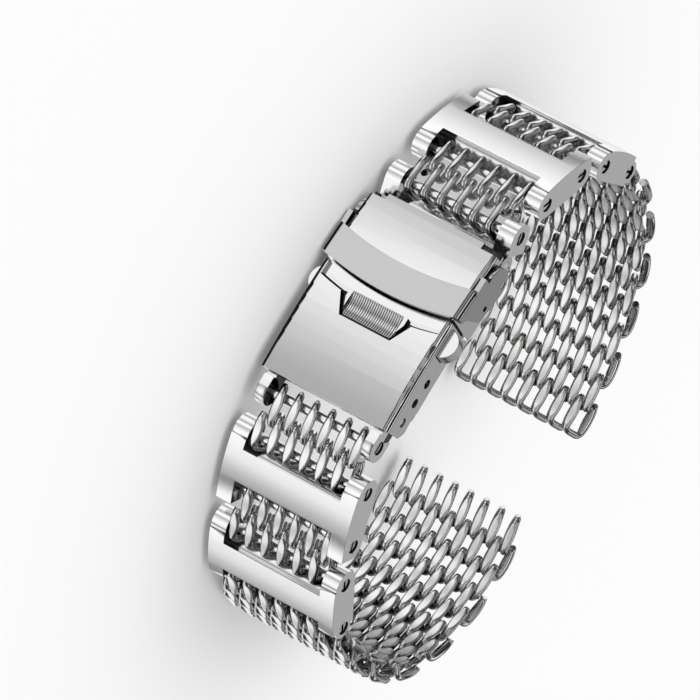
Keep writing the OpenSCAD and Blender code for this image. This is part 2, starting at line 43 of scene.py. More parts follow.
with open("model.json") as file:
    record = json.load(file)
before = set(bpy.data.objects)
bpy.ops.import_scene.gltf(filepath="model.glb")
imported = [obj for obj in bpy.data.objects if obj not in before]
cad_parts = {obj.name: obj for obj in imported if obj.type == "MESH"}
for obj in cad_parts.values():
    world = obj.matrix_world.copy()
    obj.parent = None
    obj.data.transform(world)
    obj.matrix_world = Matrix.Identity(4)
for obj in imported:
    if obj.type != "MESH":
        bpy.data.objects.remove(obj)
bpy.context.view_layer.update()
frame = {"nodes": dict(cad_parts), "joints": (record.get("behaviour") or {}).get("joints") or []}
NODES = frame["nodes"]
JOINTS = {joint["name"]: joint for joint in frame["joints"]}
MM = 0.001

# Full-width rows of each side of the strap, and what lies between the clasp and them
ROWS = {"lower": 14, "upper": 12}
LINKED = ("half", "coil_1", "coil_2", "link_1", "coil_3", "coil_4", "link_2", "coil_5")
# Short spirals that hang on a rod at their end nearer the clasp, and the rod's diameter and play
ROD_COILS = ("coil_1", "coil_3", "coil_5")
ROD_D = 1.4 * MM
ROD_PLAY = 0.1 * MM
# Legs that a short spiral has fewer than a row, at each of its ends
LEGS_LESS = 2

# A spiral's curled ends reach past their corner by this share of its tangent, and each rounded
# corner has this many points
TAIL_REACH = 1.05
CORNER_POINTS = 16
# Shares of half a loop's length: where a leg's leaf-shaped face ends, and from where the last
# row is seen from outside and gets no painted shade. The third is a share of half a pitch, measured
# from an outermost leg.
LEAF_REACH = 0.8
OPEN_REACH = 0.4
EDGE_REACH = 0.9
# How deep the wire counts as lying, for its painted shade, where it is seen from outside, and at most
# elsewhere
OPEN_DEPTH = 0.1 * MM
DEEPEST = 10 * MM
# Heights against the ground face between which the wire's painted shade goes from dark to bright
DARK_LEVEL = -1.9 * MM
BRIGHT_LEVEL = -0.45 * MM
# What grinding adds to the wire's roughness
GROUND_ROUGHER = 0.16

# The clasp's turn about Z, in which its sheets are brushed, and the depth of the brushing
CLASP_TILT = math.radians(-12)
BRUSH_DEPTH = 0.0015 * MM
# The cover's front edge: how far it starts before the fold pin, its sag and its half width,
# the width of the painted shadow line along it on the strip, and the half width that the thumb tab
# leaves free
EDGE_LEAD = 0.9 * MM
EDGE_SAG = 1.5 * MM
EDGE_HALF = 11.0 * MM
SHADOW_LINE_WIDTH = 0.38 * MM
TAB_HALF = 5.5 * MM

# Merging of the CAD nodes' loose triangles, and the angles of edges that are softened or sharp
MERGE_REACH = 0.0005 * MM
FLAT_ANGLE = math.radians(0.2)
SOFTENED_ANGLE = math.radians(35)
SHARP_ANGLE = math.radians(50)
EDGE_STEPS = 2

# The fan of rays by which a face looks out: its tilts, its rays in a turn and its start
FAN_TILTS = (math.radians(35), math.radians(65))
FAN_TURNS = 8
FAN_START = 0.15 * MM
# How far the faces of a link, a sheet and a small piece look out
LINK_OUTLOOK = 4 * MM
SHEET_OUTLOOK = 1.2 * MM
SMALL_OUTLOOK = 0.8 * MM
# Blocked shares of the outlook between which a face takes on painted shade, how strong that painted
# shade is, and its grey
OPEN_SHARE = 0.15
SHUT_SHARE = 0.40
PAINTED_SHADE_STRENGTH = 0.96
PAINTED_SHADE_GREY = 0.01

# Greys of the studio that the metal mirrors: first by height, then by turn from -Y to +X
FLOOR_HEIGHTS = ((-90, 0.0), (-52, 0.0), (-42, 0.9), (-24, 1.15), (-12, 0.95), (-5, 0.0), (90, 0.0))
FLOOR_TURNS = ((-180, 0.60), (-152, 1.00), (-118, 0.95), (-108, 0.20), (-98, 0.70), (-78, 1.20),
               (-62, 0.95), (-44, 0.40), (-30, 1.35), (-20, 1.15), (-8, 0.50), (14, 0.95),
               (34, 1.20), (52, 1.00), (69, 0.20), (78, 1.20), (96, 0.85), (111, 0.20),
               (122, 0.90), (155, 0.95), (180, 0.60))
SKY_HEIGHTS = ((-90, 0.0), (2, 0.0), (8, 0.35), (19, 0.50), (31, 0.50), (37, 0.0), (48, 0.0),
               (53, 1.3), (64, 1.3), (69, 0.0), (90, 0.0))
SKY_TURNS = ((-180, 0.95), (-120, 0.60), (-95, 0.0), (-60, 0.3), (-45, 1.0), (35, 1.0),
             (50, 0.2), (90, 0.0), (120, 0.60), (180, 0.95))
# The least that the metal mirrors, and the light that reaches a dull surface from all round
DARK_STUDIO = 0.015
FILL = 0.90

# The floor's paper, the key light and the camera's sensor and range
PAPER_GREY = 0.93
PAPER_ROUGHNESS = 0.9
KEY_PLACE = (-0.25, -0.2, 0.6)
KEY_SPREAD = math.radians(70)
KEY_POWER = 0.55
SENSOR_WIDTH = 36
NEAREST = 0.01
FARTHEST = 10

# Sockets of a Mix node for colours, by number because their names repeat
MIX_SHARE, MIX_FIRST, MIX_SECOND, MIX_RESULT = 0, 6, 7, 2


class WireSizes(bpy.types.PropertyGroup):
    """Sizes of the spiral wire"""

    wire_d: FloatProperty(name="Wire diameter", description="Diameter of the wire before grinding",
                          default=1.1 * MM, unit="LENGTH")
    pitch: FloatProperty(name="Loop spacing", description="Spacing of two loops across the strap",
                         default=2.787 * MM, unit="LENGTH")
    loops: IntProperty(name="Loops", description="Loops in a full-width row", default=8)
    loop_len: FloatProperty(name="Loop length", description="Centre-line length of a loop",
                            default=5.3 * MM, unit="LENGTH")
    turn_r: FloatProperty(name="Turn half height", description="Half the wire spacing at an end turn",
                          default=1.6 * MM, unit="LENGTH")
    bend_r: FloatProperty(name="Bend radius", description="Centre-line radius of a loop's corners",
                          default=0.9 * MM, unit="LENGTH")
    ground: FloatProperty(name="Ground depth", description="Depth ground off the mesh's faces",
                          default=0.27 * MM, unit="LENGTH")
    coil_ground: FloatProperty(name="Coil ground depth",
                               description="Depth ground off the upper side's short coils",
                               default=0.10 * MM, unit="LENGTH")
    face_bow: FloatProperty(name="Face bow", description="Fall of the ground face at a loop's ends",
                            default=0.34 * MM, unit="LENGTH")
    leaf: FloatProperty(name="Leaf width", description="Share by which pressing widens a leg",
                        default=0.40)
    curl: FloatProperty(name="Curl angle", description="Angle of the curled free wire ends",
                        default=math.radians(55), subtype="ANGLE")
    play: FloatProperty(name="Loop play", description="Play between two interlinked loops",
                        default=0.2 * MM, unit="LENGTH")
    step: FloatProperty(name="Sweep step", description="Length of one step of the swept wire",
                        default=0.27 * MM, unit="LENGTH")
    sides: IntProperty(name="Wire facets", description="Facets round the wire", default=16)


class MetalColours(bpy.types.PropertyGroup):
    """Colours of the metals, with painted shade in the inner wire's colour and in the flap's darker
    copy of the satin steel
    """

    wire: FloatVectorProperty(name="Wire", description="Bright drawn wire", subtype="COLOR",
                              default=(0.70, 0.70, 0.69))
    # Painted shade: the colour that the wire takes deep inside the mesh, where shade falls
    inside: FloatVectorProperty(name="Inner wire", description="Wire deep inside the mesh",
                                subtype="COLOR", default=(0.05, 0.05, 0.05))
    face: FloatVectorProperty(name="Ground faces", description="Ground faces of the wire",
                              subtype="COLOR", default=(0.88, 0.88, 0.87))
    satin: FloatVectorProperty(name="Satin steel", description="Brushed clasp sheet",
                               subtype="COLOR", default=(0.64, 0.64, 0.64))
    # Painted shade: the satin steel made darker, standing in for the shade on the flap's sloping
    # sheet
    flap: FloatVectorProperty(name="Flap steel", description="Brushed sheet of the safety flap",
                              subtype="COLOR", default=(0.41, 0.41, 0.41))
    polished: FloatVectorProperty(name="Polished steel", description="Polished links",
                                  subtype="COLOR", default=(0.76, 0.76, 0.76))
    pin: FloatVectorProperty(name="Pin steel", description="Turned rods and pins",
                             subtype="COLOR", default=(0.84, 0.84, 0.83))


class EdgeSizes(bpy.types.PropertyGroup):
    """Softness of the edges"""

    link: FloatProperty(name="Link edges", description="Rounding of the links' edges",
                        default=0.16 * MM, unit="LENGTH")
    sheet: FloatProperty(name="Sheet edges", description="Rounding of the clasp's edges",
                         default=0.12 * MM, unit="LENGTH")
    rod: FloatProperty(name="Rod edges", description="Rounding of rods and small parts",
                       default=0.06 * MM, unit="LENGTH")


class StageSizes(bpy.types.PropertyGroup):
    """Camera and floor"""

    azimuth: FloatProperty(name="Azimuth", description="Turn of the view from +Y towards +X",
                           default=math.radians(1.2), subtype="ANGLE")
    elevation: FloatProperty(name="Elevation", description="Height of the view",
                             default=math.radians(24.76), subtype="ANGLE")
    roll: FloatProperty(name="Roll", description="Turn of the camera about its own view",
                        default=math.radians(117.88), subtype="ANGLE")
    distance: FloatProperty(name="Distance", description="From the camera to the bracelet",
                            default=1.0037, unit="LENGTH")
    frame_w: FloatProperty(name="View width", description="Width of the view at the bracelet",
                           default=100.3 * MM, unit="LENGTH")
    aim_right: FloatProperty(name="Aim right", description="Aim beside the origin, to the right",
                             default=-2.33 * MM, unit="LENGTH")
    aim_up: FloatProperty(name="Aim up", description="Aim above the origin",
                          default=-0.35 * MM, unit="LENGTH")
    floor_size: FloatProperty(name="Floor size", description="Side of the floor",
                              default=3.0, unit="LENGTH")


class Socket:
    """A node's output, so that sums on it are written as expressions"""

    def __init__(self, tree, output):
        self.tree = tree
        self.output = output

    def maths(self, operation, *values):
        """A Math node on sockets and numbers"""
        node = self.tree.nodes.new("ShaderNodeMath")
        node.operation = operation
        for slot, value in zip(node.inputs, values):
            if isinstance(value, Socket):
                self.tree.links.new(value.output, slot)
            else:
                slot.default_value = value
        return Socket(self.tree, node.outputs[0])

    def __add__(self, other):
        return self.maths("ADD", self, other)

    def __radd__(self, other):
        return self.maths("ADD", other, self)

    def __sub__(self, other):
        return self.maths("SUBTRACT", self, other)

    def __rsub__(self, other):
        return self.maths("SUBTRACT", other, self)

    def __mul__(self, other):
        return self.maths("MULTIPLY", self, other)

    def __rmul__(self, other):
        return self.maths("MULTIPLY", other, self)

    def __truediv__(self, other):
        return self.maths("DIVIDE", self, other)

    def __pow__(self, other):
        return self.maths("POWER", self, other)

    def __gt__(self, other):
        return self.maths("GREATER_THAN", self, other)

    def __lt__(self, other):
        return self.maths("LESS_THAN", self, other)

    def least(self, other):
        return self.maths("MINIMUM", self, other)

    def most(self, other):
        return self.maths("MAXIMUM", self, other)

    def floor(self):
        return self.maths("FLOOR", self)

    def size(self):
        return self.maths("ABSOLUTE", self)

    def cos(self):
        return self.maths("COSINE", self)

    def sin(self):
        return self.maths("SINE", self)

    def tan(self):
        return self.maths("TANGENT", self)

    def arcsin(self):
        return self.maths("ARCSINE", self)

    def arctan(self, other):
        return self.maths("ARCTAN2", self, other)


class Board:
    """Adds nodes to a tree"""

    def __init__(self, tree):
        self.tree = tree

    def add(self, kind, settings=None, sockets=None, out=0):
        """One node: its settings first, then the values or links of its sockets"""
        node = self.tree.nodes.new(kind)
        for name, value in (settings or {}).items():
            if name == "stops":
                self.set_stops(node.color_ramp, value)
            else:
                setattr(node, name, value)
        for name, value in (sockets or {}).items():
            if isinstance(value, Socket):
                self.tree.links.new(value.output, node.inputs[name])
            else:
                node.inputs[name].default_value = value
        return Socket(self.tree, node.outputs[out]) if node.outputs else None

    def split(self, vector):
        """The three parts of a vector"""
        return [self.add("ShaderNodeSeparateXYZ", None, {"Vector": vector}, out=part)
                for part in range(3)]

    def mix(self, share, first, second):
        """A colour that goes from the first to the second as the share goes from 0 to 1"""
        return self.add("ShaderNodeMix", {"data_type": "RGBA"}, {
            MIX_SHARE: share, MIX_FIRST: first, MIX_SECOND: second}, out=MIX_RESULT)

    def soft_range(self, value, start, end, highest=1.0):
        """0 at the start and the highest at the end, eased at both"""
        return self.add("ShaderNodeMapRange", {"interpolation_type": "SMOOTHSTEP"}, {
            "Value": value, "From Min": start, "From Max": end, "To Min": 0.0, "To Max": highest})

    @staticmethod
    def set_stops(ramp, stops):
        while len(ramp.elements) > 1:
            ramp.elements.remove(ramp.elements[-1])
        for index, (place, grey) in enumerate(stops):
            element = ramp.elements[0] if index == 0 else ramp.elements.new(place)
            element.position = place
            element.color = (grey, grey, grey, 1)


# Materials
def metal(name, tint, rough, height=None):
    """A bare metal: functions of the board give its colour, its roughness and its brushing"""
    material = bpy.data.materials.new(name)
    material.use_nodes = True
    material.node_tree.nodes.clear()
    board = Board(material.node_tree)
    sockets = {"Base Color": tint(board), "Metallic": 1.0, "Roughness": rough(board)}
    if height is not None:
        sockets["Normal"] = board.add("ShaderNodeBump", None, {
            "Height": height(board), "Distance": BRUSH_DEPTH, "Strength": 1.0})
    shader = board.add("ShaderNodeBsdfPrincipled", None, sockets)
    board.add("ShaderNodeOutputMaterial", None, {"Surface": shader})
    return material


def painted_crevice_shade(colour, line=None):
    """A base colour with painted shade on faces that look into a narrow gap, and a painted shadow
    along a line
    """
    def tint(board):
        shut = board.add("ShaderNodeAttribute", {"attribute_name": "shut_in"}, out="Fac")
        dark = board.soft_range(shut, OPEN_SHARE, SHUT_SHARE, PAINTED_SHADE_STRENGTH)
        if line is not None:
            dark = dark.most(line(board))
        return board.mix(dark, (*colour, 1), (PAINTED_SHADE_GREY, PAINTED_SHADE_GREY, PAINTED_SHADE_GREY, 1))

    return tint


def streaks(board, length, width, angle=0.0, shift=0.0):
    """Noise drawn out along the angle, as brushing leaves it"""
    place = board.add("ShaderNodeTexCoord", out="Object")
    turned = board.add("ShaderNodeMapping", None, {
        "Vector": place, "Rotation": (0, 0, -angle), "Location": (shift, 0, 0),
        "Scale": (1 / length, 1 / width, 1 / width)})
    return board.add("ShaderNodeTexNoise", {"noise_dimensions": "3D"}, {
        "Vector": turned, "Scale": 1.0, "Detail": 2.0, "Roughness": 0.5})


def streaked(base, spread, length, width, angle=0.0):
    """A roughness of at least the base, to which the streaks add up to the spread"""
    def rough(board):
        return base + spread * streaks(board, length, width, angle)

    return rough


def painted_parting_shadow(board):
    """Mask of a painted shadow: 1 on the strip where it dips under the cover's curved front edge"""
    pin = Vector(JOINTS["clasp_fold"]["pos_m"])
    low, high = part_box("cover")
    x, y, z = board.split(board.add("ShaderNodeTexCoord", out="Object"))
    along = (x - pin.x) * math.cos(CLASP_TILT) + (y - pin.y) * math.sin(CLASP_TILT)
    across = (z - (low.z + high.z) / 2).size()
    edge = EDGE_SAG * (1 - (across / EDGE_HALF) ** 2) - EDGE_LEAD
    return (along > edge - SHADOW_LINE_WIDTH) * (across > TAB_HALF)


def satin_steel(name, colour, line=None):
    """Brushed sheet of the clasp, with painted shade in its gaps and, where a line is given, a
    painted shadow along it
    """
    def height(board):
        return streaks(board, length=5 * MM, width=0.07 * MM, angle=CLASP_TILT, shift=1.3)

    rough = streaked(base=0.11, spread=0.05, length=6 * MM, width=0.09 * MM, angle=CLASP_TILT)
    return metal(name, painted_crevice_shade(colour, line), rough, height)


def polished_steel(colours):
    """Mirror-bright links"""
    rough = streaked(base=0.10, spread=0.06, length=0.8 * MM, width=0.5 * MM)
    return metal("polished steel", painted_crevice_shade(colours.polished), rough)


def pin_steel(colours):
    """Rods and pins with fine turning marks"""
    rough = streaked(base=0.13, spread=0.10, length=0.08 * MM, width=0.4 * MM)
    return metal("turned pin steel", painted_crevice_shade(colours.pin), rough)


def wire_steel(colours):
    """Bright round wire with dull ground faces, and painted shade that darkens it with its depth
    inside the mesh
    """
    def depth(board):
        return board.add("ShaderNodeAttribute", {"attribute_name": "ground_depth"}, out="Fac")

    def face(board):
        return depth(board) > 0.0

    def rough(board):
        drawn = streaked(base=0.12, spread=0.05, length=0.5 * MM, width=0.3 * MM)
        return drawn(board) + GROUND_ROUGHER * face(board)

    def tint(board):
        lit = board.soft_range(depth(board), DARK_LEVEL, BRIGHT_LEVEL)
        shade = board.mix(lit, (*colours.inside, 1), (*colours.wire, 1))
        return board.mix(face(board), shade, (*colours.face, 1))

    return metal("bright mesh wire", tint, rough)


def spring_steel(colours):
    """The buttons' leaf spring, the same grey all over"""
    rough = streaked(base=0.30, spread=0.10, length=0.3 * MM, width=0.2 * MM)
    return metal("rolled spring steel", lambda board: (*colours.wire, 1), rough)


def placed(name, data):
    """A new object of the scene that holds the data"""
    item = bpy.data.objects.new(name, data)
    bpy.context.scene.collection.objects.link(item)
    return item


def plain_mesh(piece, name):
    """The piece's modifiers turned into its mesh"""
    graph = bpy.context.evaluated_depsgraph_get()
    finished = bpy.data.meshes.new_from_object(piece.evaluated_get(graph))
    finished.name = name
    piece.modifiers.clear()
    piece.data = finished
    return finished


def dress(piece, body, node):
    """The piece rides on its body and stands for its CAD node"""
    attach(piece, body)
    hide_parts(node)


# Spiral wire
SPIRAL_INPUTS = {
    "Legs": "Int", "Half Pitch": "Float", "Loop Length": "Float", "Half Height": "Float",
    "Bend Radius": "Float", "Wire Radius": "Float", "Wire Facets": "Int", "Sweep Step": "Float",
    "Curl Angle": "Float", "Ground Level": "Float", "Face Bow": "Float", "Leaf Width": "Float",
    "Open End": "Float", "Shade Depth": "Float", "Place": "Vector", "Turn": "Vector",
    "Metal": "Material"}


def spiral_tree():
    """Geometry nodes that sweep one flattened spiral and grind its faces"""
    tree = bpy.data.node_groups.new("Spiral wire", "GeometryNodeTree")
    for name, kind in SPIRAL_INPUTS.items():
        tree.interface.new_socket(name, in_out="INPUT", socket_type="NodeSocket" + kind)
    tree.interface.new_socket("Geometry", in_out="OUTPUT", socket_type="NodeSocketGeometry")
    board = Board(tree)
    given = {name: board.add("NodeGroupInput", out=name) for name in SPIRAL_INPUTS}
    ground = ground_wire(board, given, swept_wire(board, given))
    stood = board.add("GeometryNodeTransform", None, {
        "Geometry": ground, "Translation": given["Place"], "Rotation": given["Turn"]})
    smooth = board.add("GeometryNodeSetShadeSmooth", {"domain": "FACE"}, {
        "Geometry": stood, "Shade Smooth": True})
    real = board.add("GeometryNodeRealizeInstances", None, {"Geometry": smooth})
    done = board.add("GeometryNodeSetMaterial", None, {
        "Geometry": real, "Material": given["Metal"]})
    board.add("NodeGroupOutput", None, {"Geometry": done})
    return tree


def swept_wire(board, given):
    """Round wire along a flattened zigzag with rounded corners and curled free ends"""
    # Corner k of the zigzag; one point more at each end makes the curled tails
    index = board.add("GeometryNodeInputIndex")
    last = 2 * given["Legs"] - 1
    k = (index - 1).most(0).least(last)
    quarter = math.pi / 2
    side = ((k - 1.5) * quarter).cos() * math.sqrt(2)
    level = ((k - 0.5) * quarter).cos() * math.sqrt(2)
    curled = (k < 0.5) + (k > last - 0.5)
    tangent = given["Bend Radius"] * (given["Curl Angle"] / 2).tan()
    full_x = given["Loop Length"] / 2
    curl_x = full_x - given["Bend Radius"] + tangent
    tail = (index < 0.5) + (index > last + 1.5)
    reach = tail * tangent * TAIL_REACH
    x = side * (full_x + (curl_x - full_x) * curled) - reach * given["Curl Angle"].cos()
    y = (k / 2).floor() * given["Half Pitch"]
    z = level * (given["Half Height"] - reach * given["Curl Angle"].sin())
    corner = board.add("ShaderNodeCombineXYZ", None, {"X": x, "Y": y, "Z": z})
    points = board.add("GeometryNodePoints", None, {
        "Count": 2 * given["Legs"] + 2, "Position": corner})
    zigzag = board.add("GeometryNodePointsToCurves", None, {"Points": points})
    rounded = board.add("GeometryNodeFilletCurve", {"mode": "POLY"}, {
        "Curve": zigzag, "Count": CORNER_POINTS, "Radius": given["Bend Radius"],
        "Limit Radius": True})
    path = board.add("GeometryNodeResampleCurve", {"mode": "LENGTH"}, {
        "Curve": rounded, "Length": given["Sweep Step"]})
    ring = board.add("GeometryNodeCurvePrimitiveCircle", None, {
        "Resolution": given["Wire Facets"], "Radius": given["Wire Radius"]})
    return board.add("GeometryNodeCurveToMesh", None, {
        "Curve": path, "Profile Curve": ring, "Fill Caps": True})


def ground_wire(board, given, swept):
    """The wire with both faces ground at a level that falls away towards the loop's ends"""
    px, py, pz = board.split(board.add("GeometryNodeInputPosition"))
    full_x = given["Loop Length"] / 2
    limit = given["Ground Level"] + given["Face Bow"] * (px / full_x) ** 2
    # Pressing widens the middle of each leg, so that its ground face is leaf-shaped
    pitch = 2 * given["Half Pitch"]
    front = pz > 0.0
    leg = front * (py / pitch + 0.5).floor() + (1 - front) * ((py / pitch).floor() + 0.5)
    leaf = (1 - (px / (LEAF_REACH * full_x)) ** 2).most(0)
    # It fades to nothing halfway to the middle of the mesh, so that the turns stay round
    outer = ((pz.size() / given["Half Height"] - 0.5) * 2).most(0).least(1)
    wide_y = leg * pitch + (py - leg * pitch) * (1 + given["Leaf Width"] * leaf * outer)
    # The strap's edges and its last row are seen from outside, so they get no painted shade, however
    # deep they lie
    half_y = (given["Legs"] - 1) * given["Half Pitch"] / 2
    at_edge = (py - half_y).size() > half_y - EDGE_REACH * given["Half Pitch"]
    outside = at_edge.most(px * given["Open End"] > OPEN_REACH * full_x)
    deepest = -OPEN_DEPTH - given["Shade Depth"] * (1 - outside)
    marked = board.add("GeometryNodeStoreNamedAttribute", {
        "data_type": "FLOAT", "domain": "POINT"}, {
        "Geometry": swept, "Name": "ground_depth", "Value": (pz.size() - limit).most(deepest)})
    cut_z = pz.least(limit).most(0 - limit)
    flat = board.add("ShaderNodeCombineXYZ", None, {"X": px, "Y": wide_y, "Z": cut_z})
    return board.add("GeometryNodeSetPosition", None, {"Geometry": marked, "Position": flat})


def grown(name, tree, values):
    """A plain mesh piece grown by a tree from named values"""
    piece = placed(name, bpy.data.meshes.new(name + "_start"))
    modifier = piece.modifiers.new("Grow", "NODES")
    modifier.node_group = tree
    sockets = {item.name: item.identifier for item in tree.interface.items_tree
               if item.item_type == "SOCKET" and item.in_out == "INPUT"}
    for key, value in values.items():
        modifier[sockets[key]] = value
    piece.update_tag()
    plain_mesh(piece, name)
    return piece


def hinge_point(side, name):
    return Vector(JOINTS[f"{side}_{name}_hinge"]["pos_m"])


def spiral_places(wire):
    """Side, name, middle and heading of each spiral, from its own hinge and the next one"""
    row_reach = (wire.loop_len - wire.wire_d - wire.play) / 2
    rod_reach = (wire.loop_len - wire.wire_d - ROD_D) / 2 - ROD_PLAY
    for side, rows in ROWS.items():
        chain = LINKED + tuple(f"row_{number}" for number in range(1, rows + 1))
        turn, last_turn = 0.0, 0.0
        for name, following in zip(chain, chain[1:] + ("",)):
            if not name.startswith(("coil", "row")):
                continue
            start = hinge_point(side, name)
            if following:
                along = hinge_point(side, following) - start
                last_turn, turn = turn, math.atan2(along.y, along.x)
            else:
                # The last row bends on as the one before it does
                turn = turn + (turn - last_turn)
            reach = rod_reach if name in ROD_COILS else row_reach
            yield side, name, start + reach * Vector((math.cos(turn), math.sin(turn), 0)), turn


def lies_flipped(side, name):
    """Whether a spiral lies the other way round: two that hook into each other alternate"""
    number = 0 if name == "coil_5" else int(name.split("_")[1])
    return (ROWS[side] + (side == "upper") + number) % 2 == 1


class BRACELET_OT_mesh(bpy.types.Operator):
    """Sweep every spiral of the mesh"""

    bl_idname = "bracelet.mesh"
    bl_label = "Spiral Mesh"

    def execute(self, context):
        wire = context.scene.bracelet_wire
        steel = wire_steel(context.scene.bracelet_metals)
        tree = spiral_tree()
        half_h = math.sqrt(wire.turn_r ** 2 - (wire.pitch / 4) ** 2)
        # Any row reaches from one edge of the strap to the other
        strap_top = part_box("lower_row_5")[1].z
        for side, name, middle, turn in spiral_places(wire):
            short = name.startswith("coil")
            legs_less = LEGS_LESS if short else 0
            top = strap_top - wire.wire_d / 2 - legs_less * wire.pitch / 2
            turned = turn + (math.pi if side == "upper" else 0)
            turned += math.pi if lies_flipped(side, name) else 0
            away = -1 if (side == "upper") != lies_flipped(side, name) else 1
            last = name == f"row_{ROWS[side]}"
            round_legs = short and side == "upper"
            ground = wire.coil_ground if round_legs else wire.ground
            piece = grown(f"{side}_{name}_wire", tree, {
                "Legs": 2 * (wire.loops - legs_less), "Half Pitch": wire.pitch / 2,
                "Loop Length": wire.loop_len, "Half Height": half_h,
                "Bend Radius": wire.bend_r, "Wire Radius": wire.wire_d / 2,
                "Wire Facets": wire.sides, "Sweep Step": wire.step, "Curl Angle": wire.curl,
                "Ground Level": half_h + wire.wire_d / 2 - ground,
                "Face Bow": wire.face_bow, "Leaf Width": 0.0 if round_legs else wire.leaf,
                # Short coils get no painted shade, and the last row none at its end seen from outside
                "Open End": away if last else 0.0, "Shade Depth": 0.0 if short else DEEPEST,
                "Place": (middle.x, middle.y, top),
                "Turn": (-math.pi / 2, 0, turned), "Metal": steel})
            dress(piece, f"{side}_{name}", f"{side}_{name}")
        return {"FINISHED"}


# Hard pieces with softened edges
def merged_copy(node, name, material):
    """A copy of a CAD node with its loose triangles merged into flat faces"""
    shape = bmesh.new()
    shape.from_mesh(NODES[node].data)
    bmesh.ops.remove_doubles(shape, verts=shape.verts, dist=MERGE_REACH)
    bmesh.ops.dissolve_limit(shape, angle_limit=FLAT_ANGLE, verts=shape.verts,
                             edges=shape.edges, use_dissolve_boundaries=False)
    mesh = bpy.data.meshes.new(name)
    shape.to_mesh(mesh)
    shape.free()
    mesh.materials.append(material)
    return placed(name, mesh)


def softened(node, width, material, name, outlook, beside=()):
    """A merged copy of a CAD node with rounded edges, marked where it is shut in, which drives its
    painted shade
    """
    piece = merged_copy(node, name, material)
    bevel = piece.modifiers.new("Soft edges", "BEVEL")
    bevel.width = width
    bevel.segments = EDGE_STEPS
    bevel.limit_method = "ANGLE"
    bevel.angle_limit = SOFTENED_ANGLE
    bevel.use_clamp_overlap = True
    bevel.miter_outer = "MITER_ARC"
    bevelled = plain_mesh(piece, name)
    bevelled.shade_smooth()
    bevelled.set_sharp_from_angle(angle=SHARP_ANGLE)
    weighted = piece.modifiers.new("Flat faces", "WEIGHTED_NORMAL")
    weighted.keep_sharp = True
    mark_shut_in(plain_mesh(piece, name), (node, *beside), outlook)
    return piece


def mark_shut_in(mesh, nodes, outlook):
    """Marks each face with the share of its outlook that the named CAD nodes block close by, for
    painted shade
    """
    points, corners = [], []
    for node in nodes:
        start = len(points)
        points.extend(vertex.co.copy() for vertex in NODES[node].data.vertices)
        corners.extend([start + corner for corner in face.vertices]
                       for face in NODES[node].data.polygons)
    solids = BVHTree.FromPolygons(points, corners)
    turns = [step * 2 * math.pi / FAN_TURNS for step in range(FAN_TURNS)]
    fan = [Vector((math.sin(tilt) * math.cos(turn), math.sin(tilt) * math.sin(turn),
                   math.cos(tilt)))
           for tilt in FAN_TILTS for turn in turns]
    marks = mesh.attributes.new("shut_in", "FLOAT", "FACE")
    for face in mesh.polygons:
        spot = face.center + face.normal * FAN_START
        upright = face.normal.to_track_quat("Z", "Y")
        hits = sum(solids.ray_cast(spot, upright @ ray, outlook)[0] is not None for ray in fan)
        marks.data[face.index].value = hits / len(fan)


class BRACELET_OT_links(bpy.types.Operator):
    """Polish the H-links and the half links"""

    bl_idname = "bracelet.links"
    bl_label = "H-Links"

    def execute(self, context):
        steel = polished_steel(context.scene.bracelet_metals)
        width = context.scene.bracelet_edges.link
        for side in ROWS:
            for link, rods in (("half_link", "half_rods"), ("link_1", "rods_1"),
                               ("link_2", "rods_2")):
                node = f"{side}_{link}"
                piece = softened(node, width, steel, node + "_polished", LINK_OUTLOOK,
                                 (f"{side}_{rods}",))
                dress(piece, node, node)
        return {"FINISHED"}


class BRACELET_OT_rods(bpy.types.Operator):
    """Turn the slotted rods and the pins"""

    bl_idname = "bracelet.rods"
    bl_label = "Rods And Pins"

    def execute(self, context):
        steel = pin_steel(context.scene.bracelet_metals)
        width = context.scene.bracelet_edges.rod
        rods = {f"{side}_{rod}": f"{side}_{link}" for side in ROWS
                for rod, link in (("half_rods", "half_link"), ("rods_1", "link_1"),
                                  ("rods_2", "link_2"))}
        pins = {"cover_pin": "clasp_cover", "blade_pin": "inner_blade", "flap_pins": "safety_flap"}
        for node, body in {**rods, **pins}.items():
            piece = softened(node, width, steel, node + "_turned", SMALL_OUTLOOK)
            dress(piece, body, node)
        return {"FINISHED"}


class BRACELET_OT_clasp(bpy.types.Operator):
    """Brush the sheets of the fold-over clasp"""

    bl_idname = "bracelet.clasp"
    bl_label = "Clasp"

    def execute(self, context):
        metals = context.scene.bracelet_metals
        edges = context.scene.bracelet_edges
        steel = satin_steel("satin steel", metals.satin)
        # The flap's steel is the satin steel with a darker colour of painted shade
        shaded_flap_steel = satin_steel("satin flap steel", metals.flap)
        # The strip's steel has a painted shadow along the cover's front edge, where the strip dips
        # under it
        shadowed_strip_steel = satin_steel("satin strip steel", metals.satin, painted_parting_shadow)
        sheets = (("cover", "clasp_cover", edges.sheet, steel, ("thumb_plate",)),
                  ("thumb_plate", "clasp_cover", edges.rod, shadowed_strip_steel, ("cover",)),
                  ("end_hood", "inner_blade", edges.sheet, steel, ()),
                  ("inner_blade", "inner_blade", edges.sheet, steel, ()),
                  ("middle_blade", "middle_blade", edges.sheet, steel, ()),
                  ("safety_flap", "safety_flap", edges.sheet, shaded_flap_steel, ()))
        for node, body, width, finish, beside in sheets:
            piece = softened(node, width, finish, node + "_satin", SHEET_OUTLOOK, beside)
            dress(piece, body, node)
        for node in ("button_near", "button_far"):
            piece = softened(node, edges.rod, steel, node + "_satin", SMALL_OUTLOOK)
            dress(piece, node, node)
        spring = softened("button_spring", edges.rod, spring_steel(metals), "button_spring_leaf",
                          SMALL_OUTLOOK)
        dress(spring, "clasp_cover", "button_spring")
        return {"FINISHED"}


